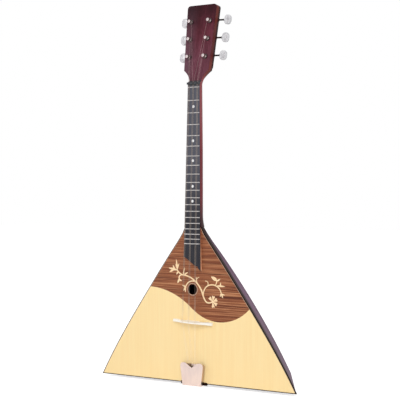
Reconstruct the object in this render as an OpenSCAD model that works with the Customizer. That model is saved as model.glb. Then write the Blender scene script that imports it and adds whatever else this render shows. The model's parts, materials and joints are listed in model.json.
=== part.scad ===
// Six-string prima balalaika: a triangular soundboard on a bowl of seven staves,
// a fretted neck and a tilted headstock with six worm-geared tuners.
// Front of the instrument faces -Y, its right-hand side is +X, and it stands along +Z.
// The origin is the middle of the soundboard's lower edge, on its front face.

/* [Body] */
// Half of the soundboard's width at its lower edge
body_half_w = 219.5; // [205:0.5:225]
// Half of the body's width where it meets the neck
top_half_w = 18.5; // [18:0.5:20]
// Height of the soundboard, from its lower edge to the neck
body_h = 290; // [288:1:292]
// How far the sides swell beyond straight lines
side_swell = 39; // [20:1:45]
// How far the sides curve in just below the neck
neck_hollow = 2.6; // [0:0.1:3]
// Greatest depth of the bowl behind the soundboard
bowl_d = 102; // [90:1:104]
// Depth of the bowl where it meets the neck
bowl_top_d = 24; // [22:1:26]
// Slope of the bottom board: rise for each millimetre of depth
board_slope = 0.6; // [0.45:0.05:0.7]
// Thickness of a stave
stave_t = 3; // [2.5:0.1:3.5]
// Thickness of the bottom board
bottom_t = 4; // [3:0.5:5]
// Thickness of the soundboard
top_t = 2.6; // [2.4:0.1:3]
// Thickness of the guard veneer and of the inlays let into the soundboard
veneer_t = 0.8; // [0.6:0.1:1]
// Width of the black binding round the soundboard
binding_w = 1.6; // [1.5:0.1:3]

/* [Sound hole] */
// Height of the sound hole's centre above the lower edge
hole_z = 174; // [170:1:178]
// Radius of the sound hole
hole_r = 9.5; // [7:0.5:9.5]
// How far the sound hole lies to the left of the middle
hole_left = 2.2; // [0:0.2:3]
// Outer radius of the line inlaid around it
ring_r = 11.5; // [11.3:0.1:12.2]
// Width of that line
ring_w = 1; // [0.8:0.1:1.4]

/* [Neck] */
// Open string length, from the zero fret to the bridge
scale_l = 435; // [430:1:438]
// Height of the zero fret above the lower edge of the soundboard
zero_fret_z = 548.5; // [546:0.5:550]
// Height of the fingerboard's face in front of the soundboard at the last fret
board_lift = 3.6; // [3.2:0.1:4.4]
// Angle by which the neck leans back from the soundboard
neck_lean = 1.67; // [1.6:0.01:1.8]
// Half of the fingerboard's width at the zero fret
nut_half_w = 13.1; // [12.5:0.1:13.5]
// Half of the fingerboard's width at the last fret
last_half_w = 18.1; // [17.5:0.1:18.2]
// Thickness of the fingerboard's black facing
board_t = 1.4; // [1.2:0.1:2]
// Depth of the neck behind the fingerboard
neck_d = 20.6; // [18.6:0.5:21.6]
// How much thinner the neck is at the nut
neck_thin = 2.4; // [1.5:0.1:3]
// Number of frets below the zero fret
fret_count = 19; // [16:1:19]

/* [Headstock] */
// Angle by which the headstock leans back
head_tilt = 10; // [8:0.5:12]
// Length of the headstock along its face
head_l = 150; // [146:1:156]
// Half width at the lower corners
head_low_half_w = 27.6; // [27:0.1:29]
// Half width at the top
head_top_half_w = 33; // [32:0.5:34]
// Thickness of the headstock's core, behind its face veneer
head_t = 13; // [12:0.5:14]
// Thickness of the face veneer
face_t = 1; // [0.8:0.1:1.2]

/* [Tuners] */
// Distance between neighbouring posts on one side
post_pitch = 34; // [33:0.5:35]
// Distance of the middle post from the headstock's centre line
post_x = 19.6; // [19:0.1:20]
// Height of the middle post along the headstock
post_s = 84; // [82:0.5:86]
// Radius of a tuner post
post_r = 3; // [2.9:0.05:3.1]
// How far a post stands out of the headstock's face
post_out = 10; // [8:0.5:11]
// Teeth of a worm wheel
wheel_teeth = 12; // [12:1:12]
// Module of the worm and its wheel
gear_module = 0.64; // [0.62:0.01:0.65]
// Length of a button along its shaft
button_l = 14.4; // [13:0.2:15.4]
// Width of a button across its shaft
button_w = 18.4; // [16:0.2:20]

/* [Strings and bridge] */
// Height of the bridge above the soundboard
bridge_h = 16.5; // [15:0.5:17]
// Length of the bridge across the soundboard
bridge_l = 87; // [80:1:92]
// Angle by which the bridge is turned, so that its right end stands lower
bridge_slant = 2.1; // [0:0.1:3]
// Distance between neighbouring courses at the zero fret
course_gap_nut = 9.5; // [9.4:0.1:10]
// Distance between neighbouring courses at the bridge
course_gap_bridge = 13.8; // [13.5:0.1:15]
// Distance between the two strings of a course
pair_gap = 2.1; // [2:0.1:2.6]
// Radius of a string
string_r = 0.2; // [0.15:0.05:0.3]

/* [Hidden] */
$fn = 48;

// Colours of the materials
spruce = "#f0cf94";
rosewood = "#8a5a44";
maple_inlay = "#f5cfa3";
ebony = "#1d1a1c";
stave_wood = "#75657a";
neck_wood = "#7a3f3c";
block_wood = "#d9b989";
head_wood = "#5a2c38";
fingerboard_wood = "#35343a";
bridge_wood = "#f4e3b8";
nickel = "#c9c9cc";
pearl = "#dcdcde";
string_metal = "#b4b4b2";
brass = "#c8a24a";

// ---- Plan of the body -------------------------------------------------------------

// Share of the body's height, 0 at the lower edge and 1 at the neck
function share(z) = z / body_h;

// A rise from 0 to 1 and back to 0 over the body's height, narrow and close below the neck
hollow_n = 16;
function hollow_at(t) = pow(t, hollow_n) * (1 - t) * (hollow_n + 1) * pow(1 + 1 / hollow_n, hollow_n);

// Half width of the body at height z
function half_w(z) =
    let (t = max(0, share(z)))
    body_half_w - (body_half_w - top_half_w) * t + side_swell * t * pow(1 - t, 2)
        - neck_hollow * hollow_at(t);

// Depth of the bowl at height z
function depth(z) =
    let (t = max(0, share(z)))
    bowl_top_d + (bowl_d - bowl_top_d) * (1 - pow(t, 2.6));

// Places of the eight seams round the half-oval section, as angles from the right edge
seam_angle = [0, 27, 54, 78, 102, 126, 153, 180];
stave_count = len(seam_angle) - 1;

// Outer corner of the section at seam i and height z, in x and y
function corner(i, z) = [half_w(z) * cos(seam_angle[i]), depth(z) * sin(seam_angle[i])];

// Unit normal of the side from p to q, pointing out of the bowl
function side_normal(p, q) = let (d = q - p, l = norm(d)) [d.y / l, -d.x / l];
function stave_normal(i, z) = side_normal(corner(i, z), corner(i + 1, z));

// Point of the line from p to q that lies on the back face of the soundboard
function on_back(p, q) = p + (q - p) * (top_t - p.y) / (q.y - p.y);

// Seam i at height z, t inside the outer face. The two end seams start at the
// soundboard's back; the others are mitred between their two staves.
function shell_pt(i, z, t) =
    i == 0
        ? let (n = stave_normal(0, z)) on_back(corner(0, z) - n * t, corner(1, z) - n * t)
    : i == stave_count
        ? let (n = stave_normal(i - 1, z)) on_back(corner(i, z) - n * t, corner(i - 1, z) - n * t)
    : let (n1 = stave_normal(i - 1, z), n2 = stave_normal(i, z))
      corner(i, z) - (n1 + n2) * t / (1 + n1 * n2);

// X of the side wall at depth y, t inside its outer face
function wall_x(z, y, t) =
    let (n = stave_normal(0, z), p = corner(0, z) - n * t, q = corner(1, z) - n * t)
    p.x + (q.x - p.x) * (y - p.y) / (q.y - p.y);

// Height at which a seam meets a plane parallel to the bottom board, lift above its outer face
function seam_foot(i, t, lift, z = 40, n = 12) =
    n == 0 ? z : seam_foot(i, t, lift, board_slope * shell_pt(i, z, t).y + lift, n - 1);

// Height of the bottom board's inner face above its outer face, measured along Z
board_rise = bottom_t * sqrt(1 + board_slope * board_slope);

function with_z(p, z) = [p.x, p.y, z];

// Seam i as a list of points from the bottom board up to the neck
seam_steps = 20;
function seam_line(i, t) =
    let (z0 = seam_foot(i, t, board_rise))
    [for (k = [0 : seam_steps]) let (z = z0 + (body_h - z0) * k / seam_steps) with_z(shell_pt(i, z, t), z)];

// Closed solid through rings of points, each clockwise seen from the ring above it.
// Each four-sided face is split in two; the splits of a ring's two halves mirror each other.
module loft(rings, flip = false) {
    n = len(rings[0]);
    last = len(rings) - 1;
    function low(i, j) = i * n + j % n;
    function high(i, j) = (i + 1) * n + j % n;
    polyhedron(
        points = [for (r = rings) for (p = r) p],
        faces = concat(
            [[for (j = [n - 1 : -1 : 0]) j]],
            [for (i = [0 : last - 1]) for (j = [0 : n - 1]) (j < n / 2) != flip
                ? [low(i, j), low(i, j + 1), high(i, j + 1)]
                : [low(i, j), low(i, j + 1), high(i, j)]],
            [for (i = [0 : last - 1]) for (j = [0 : n - 1]) (j < n / 2) != flip
                ? [low(i, j), high(i, j + 1), high(i, j)]
                : [low(i, j + 1), high(i, j + 1), high(i, j)]],
            [[for (j = [0 : n - 1]) last * n + j]]
        ),
        convexity = 6
    );
}

// Sheet of thickness t whose front lies at depth y0, with its outline drawn in x and z
module sheet(y0, t) {
    translate([0, y0 + t, 0]) rotate([90, 0, 0]) linear_extrude(t) children();
}

// ---- Soundboard, guard, inlays and binding ----------------------------------------

side_steps = 24;
function side_z(k, z0) = z0 + (body_h - z0) * k / side_steps;

// Outline of the soundboard, inset from the sides and from the lower edge
module board_outline(inset) {
    right = [for (k = [0 : side_steps]) let (z = side_z(k, inset)) [half_w(z) - inset, z]];
    left = [for (k = [side_steps : -1 : 0]) let (z = side_z(k, inset)) [inset - half_w(z), z]];
    polygon(concat(right, left));
}

// The guard's lower edge is an S of two arcs: one bulges up on the left, one down on the right
guard_left_c = [-105, 18.5];
guard_left_r = 157;
guard_right_c = [57, 209.2];
guard_right_r = 93;

function arc(c, r, a0, a1, n) =
    [for (k = [0 : n]) let (a = a0 + (a1 - a0) * k / n) c + r * [cos(a), sin(a)]];

module guard_region() {
    polygon(concat(
        arc(guard_left_c, guard_left_r, 98, 49, 16),
        arc(guard_right_c, guard_right_r, 231, 330, 24),
        [[200, body_h], [-200, body_h]]
    ));
}

module hole_disc(r) {
    translate([-hole_left, hole_z]) circle(r, $fn = 64);
}

module soundboard() {
    color(spruce) difference() {
        sheet(0, top_t) board_outline(binding_w);
        sheet(-1, veneer_t + 1) guard_region();
        sheet(-1, top_t + 2) hole_disc(hole_r);
    }
}

module guard_veneer() {
    color(rosewood) difference() {
        intersection() {
            sheet(0, veneer_t) board_outline(binding_w);
            sheet(0, veneer_t) guard_region();
        }
        sheet(-1, veneer_t + 2) vine();
        sheet(-1, veneer_t + 2) ring();
        sheet(-1, veneer_t + 2) hole_disc(hole_r);
    }
}

module vine_inlay() {
    color(maple_inlay) sheet(0, veneer_t) intersection() {
        vine();
        guard_region();
    }
}

module ring() {
    difference() {
        hole_disc(ring_r);
        hole_disc(ring_r - ring_w);
    }
}

module sound_hole_ring() {
    color(maple_inlay) sheet(0, veneer_t) ring();
}

// Strip along the right edge of the soundboard
module binding_side() {
    color(ebony) sheet(0, top_t) polygon(concat(
        [for (k = [0 : side_steps]) let (z = side_z(k, 0)) [half_w(z), z]],
        [for (k = [side_steps : -1 : 0]) let (z = side_z(k, binding_w)) [half_w(z) - binding_w, z]]
    ));
}

module binding_right() {
    binding_side();
}

module binding_left() {
    mirror([1, 0, 0]) binding_side();
}

module binding_bottom() {
    inner = half_w(binding_w) - binding_w;
    color(ebony) sheet(0, top_t)
        polygon([[-half_w(0), 0], [half_w(0), 0], [inner, binding_w], [-inner, binding_w]]);
}

// A leaf from its stem end at p, pointing along angle a, l long and w wide
module leaf(p, a, l, w) {
    side = [for (k = [1 : 5]) let (u = k / 6) [l * u, w / 2 * pow(sin(180 * pow(u, 0.8)), 0.9)]];
    translate(p) rotate(a) polygon(concat(
        [[0, -0.35], [0, 0.35]],
        side,
        [[l, 0]],
        [for (k = [4 : -1 : 0]) [side[k].x, -side[k].y]]
    ));
}

// Point and direction at share t of the curve that runs from a to d, drawn towards b and c
function curve_at(a, b, c, d, t) =
    pow(1 - t, 3) * a + 3 * pow(1 - t, 2) * t * b + 3 * (1 - t) * t * t * c + pow(t, 3) * d;
function curve_way(a, b, c, d, t) =
    let (v = pow(1 - t, 2) * (b - a) + 2 * (1 - t) * t * (c - b) + t * t * (d - c)) v / norm(v);

// A stem along such curves laid end to end, w wide where they begin and end
stem_steps = 14;
module stem(p, w) {
    edge = [for (side = [1, -1]) [for (i = [0 : len(w) - 2], k = [i == 0 ? 0 : 1 : stem_steps])
        let (t = k / stem_steps, v = curve_way(p[3 * i], p[3 * i + 1], p[3 * i + 2], p[3 * i + 3], t))
        curve_at(p[3 * i], p[3 * i + 1], p[3 * i + 2], p[3 * i + 3], t)
            + side * (w[i] + (w[i + 1] - w[i]) * t) / 2 * [-v.y, v.x]]];
    polygon(concat(edge[0], [for (k = [len(edge[1]) - 1 : -1 : 0]) edge[1][k]]));
}

// A flower of petals with notched edges, from r out of its middle to l, each w wide
petal_count = 5;
petal_step = 54.5;
module flower(first, r, l, w) {
    side = [[r, 0.9], [l * 0.6, w * 0.36], [l * 0.84, w / 2], [l, w * 0.36], [l * 0.9, 0],
            [l, -w * 0.36], [l * 0.84, -w / 2], [l * 0.6, -w * 0.36], [r, -0.9]];
    polygon(concat([[-r, 0]], [for (k = [0 : petal_count - 1], q = side)
        let (a = first - petal_step * k) [q.x * cos(a) - q.y * sin(a), q.x * sin(a) + q.y * cos(a)]]));
}

// The scrolling stem with its leaves, buds and flower
module vine() {
    // Main stem: over the sound hole and down into the scroll that bears the flower
    stem([[-38, 209], [-33.5, 206], [-31, 200.5], [-22, 199.8], [-5, 198.6], [11, 187.5],
          [19, 171], [24.2, 155], [28, 146.4], [42.2, 152.8]], [2.6, 2.4, 3.2, 2.2]);
    // Tendril that turns back round the sound hole
    stem([[9, 186.4], [-1, 193.5], [-19.5, 189], [-18.4, 170]], [2.2, 2.3]);
    leaf([-16.5, 178], 163, 10, 3.2);
    leaf([-17.5, 178], 233, 9.5, 4.2);
    leaf([-18.3, 172], 262, 4, 2.2);
    // Upright bud at the stem's left end
    leaf([-36.5, 207.5], 96, 22, 4);
    leaf([-36.8, 211.5], 66, 11, 2.8);
    leaf([-37, 211.5], 115, 9.5, 2.6);
    // Spread bud beside it
    leaf([-37, 208.8], 171, 20.5, 4.6);
    leaf([-42.5, 209.6], 118, 9.5, 3.4);
    leaf([-44, 209.6], 205, 12.5, 3.8);
    leaf([-35, 206], 238, 7, 3.4);
    // Hanging tendril with its two leaves
    stem([[-23.4, 199.6], [-31, 201], [-34.5, 197], [-31.8, 190.5]], [1.4, 3.2]);
    leaf([-32, 192.4], 242, 9.6, 4.2);
    leaf([-32.2, 190.8], 342, 6.5, 3.2);
    // Shoots on the stem's upper side
    leaf([-22.5, 200], 86, 9, 3.2);
    leaf([-22.1, 205], 74, 9.5, 2.4);
    leaf([-21, 200.3], 31, 10.5, 3);
    stem([[8.5, 186.6], [6.2, 190], [6.4, 195.5], [13, 197]], [2, 1]);
    leaf([7.3, 191.8], 101, 5.6, 2);
    // Round tendril on the right
    stem([[21.6, 162.6], [22.3, 176], [29, 184.3], [42.5, 184.3], [54, 184.3], [61.5, 176], [62, 168]],
         [2.2, 2.4, 2]);
    stem([[31, 180.8], [34, 185], [34.6, 191], [26.4, 190.6]], [1.8, 1.3]);
    // Its upper leaf pair
    stem([[49, 183.6], [51.8, 187], [52.4, 190], [52.2, 193.8]], [1.6, 2.8]);
    leaf([53, 192.6], 153, 15, 6.8);
    leaf([52, 191.2], 28, 9.5, 3.4);
    // Its side leaf
    leaf([52.5, 183], 358, 18.5, 3.2);
    leaf([59.8, 182.4], 80, 7.5, 2.6);
    // Its three end leaves
    leaf([61.9, 169.8], 250, 7.8, 2.2);
    leaf([61.9, 169.8], 292, 10, 3.2);
    leaf([61.6, 168.7], 345, 8.6, 2.6);
    translate([43, 153.3]) flower(134, 2.4, 11, 6.6);
}

// ---- Bowl and inner pieces ---------------------------------------------------------

// Stave number i, counted from the right-hand side round the back
module stave(i) {
    outer_a = seam_line(i, 0);
    outer_b = seam_line(i + 1, 0);
    inner_a = seam_line(i, stave_t);
    inner_b = seam_line(i + 1, stave_t);
    color(stave_wood)
        loft([for (k = [0 : seam_steps]) [inner_a[k], inner_b[k], outer_b[k], outer_a[k]]],
             flip = i < stave_count / 2);
}

// Ring through the seams where they meet a plane parallel to the bottom board
function foot_ring(t, lift) =
    [for (i = [stave_count : -1 : 0]) let (z = seam_foot(i, t, lift)) with_z(shell_pt(i, z, t), z)];

module bottom_board() {
    color(stave_wood) difference() {
        loft([foot_ring(0, 0), foot_ring(0, board_rise)]);
        tail_screw_holes(0.95);
    }
}

// Hardwood block that joins the neck to the staves
block_gap = 0.35;
module neck_block() {
    ring_z = [body_h - 38, body_h - 25, body_h - 12, body_h - 0.02];
    color(block_wood) loft([for (z = ring_z)
        [for (i = [stave_count : -1 : 0])
            let (p = shell_pt(i, z, stave_t + block_gap)) [p.x, max(p.y, top_t + 0.02), z]]]);
}

tail_block_w = 64;
tail_block_d = 46;
module tail_block() {
    foot = board_rise + 0.05;
    color(block_wood) difference() {
        translate([-tail_block_w / 2, 0, 0]) rotate([90, 0, 90]) linear_extrude(tail_block_w) polygon([
            [top_t, board_slope * top_t + foot],
            [tail_block_d, board_slope * tail_block_d + foot],
            [tail_block_d, board_slope * tail_block_d + foot + 8],
            [top_t, 34]
        ]);
        tail_screw_holes(0.95);
    }
}

lining_d = 6;
lining_w = 9;
module lining() {
    color(block_wood) loft([for (k = [0 : 12]) let (
            z = 14 + (body_h - 44 - 14) * k / 12,
            front = wall_x(z, top_t, stave_t + block_gap),
            back = wall_x(z, top_t + lining_d, stave_t + block_gap)
        )
        [[front - lining_w, top_t, z], [back - lining_w / 2, top_t + lining_d, z],
         [back, top_t + lining_d, z], [front, top_t, z]]
    ]);
}

module linings() {
    lining();
    mirror([1, 0, 0]) lining();
}

brace_z = [70, 140, 205];
brace_t = 7;
brace_d = 10;
module braces() {
    color(spruce) for (z = brace_z) {
        reach = wall_x(z + brace_t, top_t, stave_t) - lining_w - 1;
        translate([0, top_t, z - brace_t / 2]) linear_extrude(brace_t)
            polygon([[-reach, 0], [reach, 0], [reach, 3], [reach - 22, brace_d],
                     [22 - reach, brace_d], [-reach, 3]]);
    }
}

// ---- Neck ---------------------------------------------------------------------------

// Distance of fret n from the zero fret
function fret_at(n) = scale_l * (1 - pow(2, -n / 12));

// Y of the fingerboard's face at the zero fret, and at any height z
zero_fret_y = fret_at(19) * sin(neck_lean) - board_lift;
function face_y(z) = zero_fret_y + (z - zero_fret_z) * tan(neck_lean);
function under_y(z) = face_y(z) + board_t / cos(neck_lean);

// Neck frame: X across, Y into the neck from the fingerboard's face, Z up from the zero fret
module in_neck() {
    translate([0, zero_fret_y, zero_fret_z]) rotate([-neck_lean, 0, 0]) children();
}
function tilt_point(p, a) = [p.x, p.y * cos(a) + p.z * sin(a), p.z * cos(a) - p.y * sin(a)];
function neck_point(p) = [0, zero_fret_y, zero_fret_z] + tilt_point(p, neck_lean);

// Half width of the fingerboard at z in the neck frame
function board_half_w(z) = nut_half_w - (last_half_w - nut_half_w) * z / fret_at(19);

// Plan of the fingerboard: straight sides and a lower end cut in a sloping wave
board_end = [[-13.5, -316.6], [-6.5, -321], [0, -325.8], [6, -329.8], [12.8, -331.8], [14.6, -335.4]];
module board_plan() {
    top_z = 5.15;
    left_z = -314.8;
    right_z = -339.3;
    polygon(concat(
        [[board_half_w(top_z), top_z], [-board_half_w(top_z), top_z], [-board_half_w(left_z), left_z]],
        board_end,
        [[board_half_w(right_z), right_z]]
    ));
}

// Frets that carry a dot in the space behind them
dot_frets = [2, 5, 7, 10, 12];
dot_r = 2.6;
dot_t = 0.6;
module at_dots() {
    for (n = dot_frets) translate([0, 0, -(fret_at(n) + fret_at(n - 1)) / 2]) rotate([90, 0, 0]) children();
}

module fingerboard() {
    color(fingerboard_wood) in_neck() difference() {
        sheet(0, board_t) board_plan();
        at_dots() translate([0, 0, -dot_t]) cylinder(r = dot_r, h = 2);
    }
}

module position_dots() {
    color(pearl) in_neck() at_dots() translate([0, 0, -dot_t]) cylinder(r = dot_r, h = dot_t);
}

// Wedge between the fingerboard's lower end and the soundboard
module fingerboard_riser() {
    color(neck_wood) intersection() {
        in_neck() sheet(board_t, 12) board_plan();
        translate([-30, -20, 190]) cube([60, 20, body_h - 190]);
    }
}

fret_h = 0.9;
module frets() {
    color(nickel) in_neck() for (n = [0 : fret_count]) translate([0, 0, -fret_at(n)]) {
        reach = board_half_w(-fret_at(n)) - 0.3;
        intersection() {
            rotate([0, 90, 0]) cylinder(r = fret_h, h = 2 * reach, center = true, $fn = 24);
            translate([-reach, -2, -2]) cube([2 * reach, 2, 4]);
        }
    }
}

nut_top = 2;
nut_slot_y = 0.8;
nut_z = [5.2, 9];
nut_ramp_s = 5;
module nut() {
    color(ebony) in_neck() difference() {
        union() {
            translate([-14.2, -nut_top, nut_z[0]]) cube([28.4, nut_top + board_t, nut_z[1] - nut_z[0]]);
            cross_strip(2 * nut_half_w) polygon([[board_t, nut_z[0]], [-nut_slot_y, nut_z[0]],
                [-nut_slot_y, nut_z[1]], head_line(nut_ramp_s, 0), head_line(2.95, 0),
                head_line(2.95, 0.9), [board_t, 8.25]]);
        }
        for (i = [0 : 5]) translate([string_x(i, course_gap_nut) - 0.5, -nut_top - 1, 0])
            cube([1, 1 + nut_top - nut_slot_y, 20]);
    }
}
// Half of an oval section, flat in front: w half wide, d deep from depth y0, n its squareness
section_points = 24;
function half_oval(w, y0, d, n) =
    [for (j = [0 : section_points - 1])
        let (a = 180 - 180 * j / (section_points - 1), c = cos(a), s = max(0, sin(a)))
        [w * sign(c) * pow(abs(c), 2 / n), y0 + d * pow(s, 2 / n)]];

// Ring of the neck at height z
heel_z = 312;
thin_z = 430;
function neck_depth(z) = neck_d - neck_thin * max(0, z - thin_z) / (zero_fret_z - thin_z);
function neck_ring(z) =
    let (
        h = max(0, (heel_z - z) / (heel_z - body_h)),
        back = (under_y(z) + neck_depth(z)) * (1 - h * h) + (bowl_top_d + 0.4) * h * h,
        w = board_half_w(z - zero_fret_z) * (1 - h * h) + (top_half_w + 0.3) * h * h
    )
    [for (p = half_oval(w, under_y(z), back - under_y(z), 2.25)) [p.x, p.y, z]];

// Ring behind the nut, tilted to suit the headstock
nut_back_z = zero_fret_z + 8.2;
nut_ring = [for (p = half_oval(board_half_w(8), under_y(nut_back_z), neck_depth(nut_back_z), 2.25))
    [p.x, p.y, nut_back_z - (p.y - under_y(nut_back_z)) * tan(head_tilt)]];

// ---- Headstock ------------------------------------------------------------------------

// Head frame: X across, Y into the headstock from its face, Z up along the face from the nut
head_z0 = zero_fret_z + 7.5;
head_y0 = under_y(head_z0) + 3;
module in_head() {
    translate([0, head_y0, head_z0]) rotate([-head_tilt, 0, 0]) children();
}
function head_point(p) = [0, head_y0, head_z0] + tilt_point(p, head_tilt);

// Point at s along the headstock and d below its face, as y and z of the neck frame
function head_line(s, d) =
    let (p = tilt_point(head_point([0, d, s]) - neck_point([0, 0, 0]), -neck_lean)) [p.y, p.z];

// Half width of the headstock at s: a hollow flare up to its lower corners, then straight sides
flare_s = 25;
function head_half_w(s) =
    s < flare_s
        ? nut_half_w + 0.3 + (head_low_half_w - nut_half_w - 0.3) * pow(max(0, s - 2) / (flare_s - 2), 2.2)
        : head_low_half_w + (head_top_half_w - head_low_half_w) * (s - flare_s) / (head_l - flare_s);
head_taper = atan((head_top_half_w - head_low_half_w) / (head_l - flare_s));

// The flare's section changes from the neck's oval to the headstock's slab
slab_s = 30;
function flare_ring(s) =
    let (u = max(0, s - 2) / (slab_s - 2))
    [for (p = half_oval(head_half_w(s), face_t, head_t + 0.3 * pow(1 - u, 1.5), 2.25 + 16 * pow(u, 2.4)))
        head_point([p.x, p.y, s])];
tenon_ring = [for (p = half_oval(head_half_w(slab_s) - 3, face_t + 2, head_t - 5, 6))
    head_point([p.x, p.y, slab_s + 5])];

// Plan of the headstock between s0 and its top, which has rounded corners
corner_r = 6;
module head_plan(s0) {
    low = s0 < flare_s ? [for (s = [s0 : 3 : flare_s - 0.5]) [head_half_w(s), s]] : [];
    first = max(s0, flare_s);
    side_end = head_l - corner_r;
    right = concat(
        low,
        [[head_half_w(first), first], [head_half_w(side_end), side_end]],
        arc([head_half_w(side_end) - corner_r, side_end], corner_r, 15, 90, 5)
    );
    polygon(concat(right, [for (k = [len(right) - 1 : -1 : 0]) [-right[k].x, right[k].y]]));
}

// Frame of tuner k: 1 to 3 go up the left side, 4 to 6 up the right side.
// X points out to its button, Y goes down its post from the face, Z runs along the side.
function tuner_side(k) = k <= 3 ? -1 : 1;
function tuner_step(k) = (k - 1) % 3 - 1;
module side_frame(side) {
    in_head() mirror([side < 0 ? 1 : 0, 0, 0])
        translate([post_x, 0, post_s]) rotate([0, head_taper, 0]) children();
}
module at_tuner(k) {
    side_frame(tuner_side(k)) translate([0, 0, tuner_step(k) * post_pitch]) children();
}
function tuner_point(k, p) =
    let (z = p.z + tuner_step(k) * post_pitch)
    head_point([tuner_side(k) * (post_x + p.x * cos(head_taper) + z * sin(head_taper)),
                p.y, post_s + z * cos(head_taper) - p.x * sin(head_taper)]);

// Cylinder along Y from depth y0 to y1
module y_rod(r, y0, y1) {
    translate([0, y0, 0]) rotate([-90, 0, 0]) cylinder(r = r, h = y1 - y0);
}

ferrule_r = 3.7;
flange_r = 4.5;
ferrule_l = 8.8;
run_gap = 0.06;
back_y = face_t + head_t;
plate_screw_at = [[0, -46], [-7.6, -17], [-7.6, 17], [0, 46]];

module neck() {
    color(neck_wood) difference() {
        union() {
            loft(concat(
                [for (z = [body_h, 294, 298, 302, 307, heel_z, 370, thin_z, 490, 535]) neck_ring(z)],
                [nut_ring],
                [for (s = [3, 7, 11, 15, 19, 22, flare_s, 27.5, slab_s]) flare_ring(s)],
                [tenon_ring]
            ));
            in_head() sheet(face_t, head_t) head_plan(slab_s);
        }
        for (k = [1 : 6]) at_tuner(k) {
            y_rod(ferrule_r + 0.05, -1, ferrule_l + 0.2);
            y_rod(post_r + 0.4, 0, back_y + 1);
        }
        for (side = [-1, 1]) side_frame(side) for (p = plate_screw_at)
            translate([p.x, 0, p.y]) y_rod(0.95, back_y - 5.5, back_y + 1);
    }
}

module headstock_veneer() {
    color(head_wood) difference() {
        in_head() sheet(0, face_t) head_plan(3);
        for (k = [1 : 6]) at_tuner(k) y_rod(ferrule_r + 0.05, -1, face_t + 1);
    }
}

// ---- Tuners ---------------------------------------------------------------------------

plate_t = 1.2;
wheel_t = 3.4;
wheel_r = gear_module * wheel_teeth / 2;
worm_r = 2.3;
worm_pitch = PI * gear_module;
worm_z = wheel_r + worm_r + 0.05;
worm_y = back_y + plate_t + 3.2;
shaft_r = 1.6;
ear_x = 5;
ear_t = 1.2;
button_x = 19.7;

module plate_side() {
    color(nickel) difference() {
        union() {
            sheet(back_y, plate_t) polygon([[-8, -50], [7.3, -50], [9.3, -48], [9.3, 48], [7.3, 50],
                                            [-8, 50], [-10, 48], [-10, -48]]);
            for (k = [-1 : 1], x = [-ear_x - ear_t, ear_x])
                translate([x, back_y + 0.5, k * post_pitch + worm_z - 3])
                    cube([ear_t, worm_y + 2.8 - back_y - 0.5, 6]);
        }
        for (k = [-1 : 1]) translate([0, 0, k * post_pitch]) {
            y_rod(post_r + run_gap, 0, back_y + plate_t + 1);
            translate([-10, worm_y, worm_z]) rotate([0, 90, 0]) cylinder(r = shaft_r + run_gap, h = 20);
        }
        for (p = plate_screw_at) translate([p.x, 0, p.y]) y_rod(0.95, 0, back_y + plate_t + 1);
    }
}

module tuner_plate_left() {
    side_frame(-1) plate_side();
}

module tuner_plate_right() {
    side_frame(1) plate_side();
}

module tuner_plate_screws() {
    color(nickel) for (side = [-1, 1]) side_frame(side) for (p = plate_screw_at) translate([p.x, 0, p.y]) {
        difference() {
            union() {
                y_rod(0.93, back_y - 5, back_y + plate_t + 0.5);
                y_rod(2, back_y + plate_t, back_y + plate_t + 1.1);
            }
            translate([-3, back_y + plate_t + 0.6, -0.25]) cube([6, 2, 0.5]);
        }
    }
}

module post_ferrules() {
    color(nickel) for (k = [1 : 6]) at_tuner(k) difference() {
        union() {
            y_rod(ferrule_r, -0.5, ferrule_l);
            y_rod(flange_r, -1, 0);
        }
        y_rod(post_r + run_gap, -2, ferrule_l + 1);
    }
}

// Post: a rounded tip, a waist for the winding, a plain shank and a narrow seat for its wheel
waist_r = 2.5;
seat_r = 2.2;
module tuner_post(k) {
    wheel_y = worm_y - wheel_t / 2;
    color(nickel) at_tuner(k) difference() {
        translate([0, -post_out, 0]) rotate([-90, 0, 0]) rotate_extrude() polygon([
            [0, 0], [post_r - 0.8, 0], [post_r, 0.8], [post_r, 2], [waist_r, 3], [waist_r, 6.6],
            [post_r, 7.6],
            [post_r, wheel_y - 0.3 + post_out], [seat_r, wheel_y - 0.3 + post_out],
            [seat_r, wheel_y + wheel_t + post_out], [0, wheel_y + wheel_t + post_out]
        ]);
        translate([-5, 4.4 - post_out, 0]) rotate([0, 90, 0]) cylinder(r = 0.8, h = 10);
    }
}

// Outline of the worm wheel: straight-flanked teeth, one of them pointing at the worm
tip_r = wheel_r + 0.85 * gear_module;
root_r = wheel_r - 1.1 * gear_module;
module wheel_outline() {
    step = 360 / wheel_teeth;
    polygon([for (k = [0 : wheel_teeth - 1]) for (q = [[root_r, -0.5], [root_r, -0.27], [tip_r, -0.11],
                                                      [tip_r, 0.11], [root_r, 0.27]])
        q[0] * [cos(-90 + step * (k + q[1])), sin(-90 + step * (k + q[1]))]]);
}

module worm_wheel(k) {
    wheel_y = worm_y - wheel_t / 2;
    color(brass) at_tuner(k) translate([0, wheel_y, 0]) rotate([-90, 0, 0]) difference() {
        linear_extrude(wheel_t) wheel_outline();
        translate([0, 0, -1]) cylinder(r = seat_r + 0.02, h = wheel_t + 2);
    }
    color(nickel) at_tuner(k) y_rod(2.7, worm_y + wheel_t / 2 + 0.02, worm_y + wheel_t / 2 + 1.2);
}

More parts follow.
